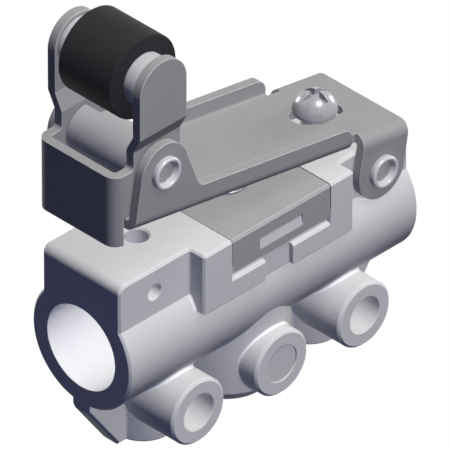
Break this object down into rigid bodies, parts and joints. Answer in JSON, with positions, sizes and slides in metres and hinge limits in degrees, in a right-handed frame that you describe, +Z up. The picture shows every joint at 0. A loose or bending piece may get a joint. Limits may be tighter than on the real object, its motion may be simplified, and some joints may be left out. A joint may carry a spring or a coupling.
{
  "type": "mechanical valve",
  "caption": "Small pneumatic spool valve with threaded ports, worked by a tilting sheet-metal lever that carries a one-way folding roller arm.",
  "frame": {"origin": "centre of the outlet port's mouth, on the plane that the body's three feet stand on", "axes": "+X along the barrel from the roller end to the pivot end, -Y the way the side ports face, +Z up"},
  "size_m": [0.0494, 0.0184, 0.0596],
  "materials": {
    "die_cast": "fine satin die casting",
    "port_plug": "turned, pressed in flush",
    "pilot_block": "matt grey coating",
    "sheet_steel": "folded sheet, satin grey plating",
    "rivet_steel": "rolled bright rivet",
    "screw_steel": "bright plating",
    "turned_steel": "turned",
    "turned_aluminium": "turned",
    "spring_wire": "drawn wire",
    "seal_rubber": "smooth moulded rubber",
    "roller_plastic": "turned black plastic"
  },
  "bodies": {
    "valve_body": {"valve_body": "die_cast", "port_plugs": "port_plug", "pilot_block": "pilot_block", "locking_screw": "screw_steel", "screw_spacer": "screw_steel", "retaining_clip": "screw_steel", "plunger_bush": "turned_steel", "spool_sleeve": "turned_aluminium", "left_end_plug": "turned_aluminium", "right_end_plug": "turned_aluminium", "plunger_spring": "spring_wire", "spool_spring": "spring_wire", "pilot_ring_seal": "seal_rubber", "pilot_seat_seal": "seal_rubber", "sleeve_seals": "seal_rubber", "left_plug_seal": "seal_rubber"},
    "lever": {"lever": "sheet_steel", "lever_rivet": "rivet_steel", "arm_rivet": "rivet_steel"},
    "roller_arm": {"roller_arm": "sheet_steel", "arm_spacer_tube": "turned_steel", "arm_spring": "spring_wire", "roller_axle": "turned_steel", "roller_hubs": "turned_steel"},
    "roller": {"roller": "roller_plastic"},
    "plunger": {"plunger": "turned_steel"},
    "spool": {"spool": "turned_steel"}
  },
  "joints": [
    {"name": "lever_press", "type": "hinge", "parent": "valve_body", "child": "lever", "pos_m": [0.0184, 0, 0.02435], "axis": [0, -1, 0], "range_deg": [0, 8], "stiffness_Nm_per_rad": 0.3, "springref_deg": -20.05},
    {"name": "arm_fold", "type": "hinge", "parent": "lever", "child": "roller_arm", "pos_m": [-0.01808, 0, 0.04227], "axis": [0, 1, 0], "range_deg": [0, 65], "stiffness_Nm_per_rad": 0.01, "springref_deg": -45.84},
    {"name": "roller_spin", "type": "hinge", "parent": "roller_arm", "child": "roller", "pos_m": [-0.01808, 0, 0.05407], "axis": [0, 1, 0], "continuous": true},
    {"name": "plunger_slide", "type": "slide", "parent": "valve_body", "child": "plunger", "axis": [0, 0, -1], "range_m": [0, 0.0027], "deforming": ["plunger_spring"]},
    {"name": "spool_shift", "type": "slide", "parent": "valve_body", "child": "spool", "axis": [1, 0, 0], "range_m": [0, 0.0024], "deforming": ["spool_spring"]}
  ],
  "couplings": [
    {"joint": "plunger_slide", "follows": "lever_press", "m_per_rad": 0.019301},
    {"joint": "spool_shift", "follows": "lever_press", "m_per_rad": 0.01718}
  ]
}
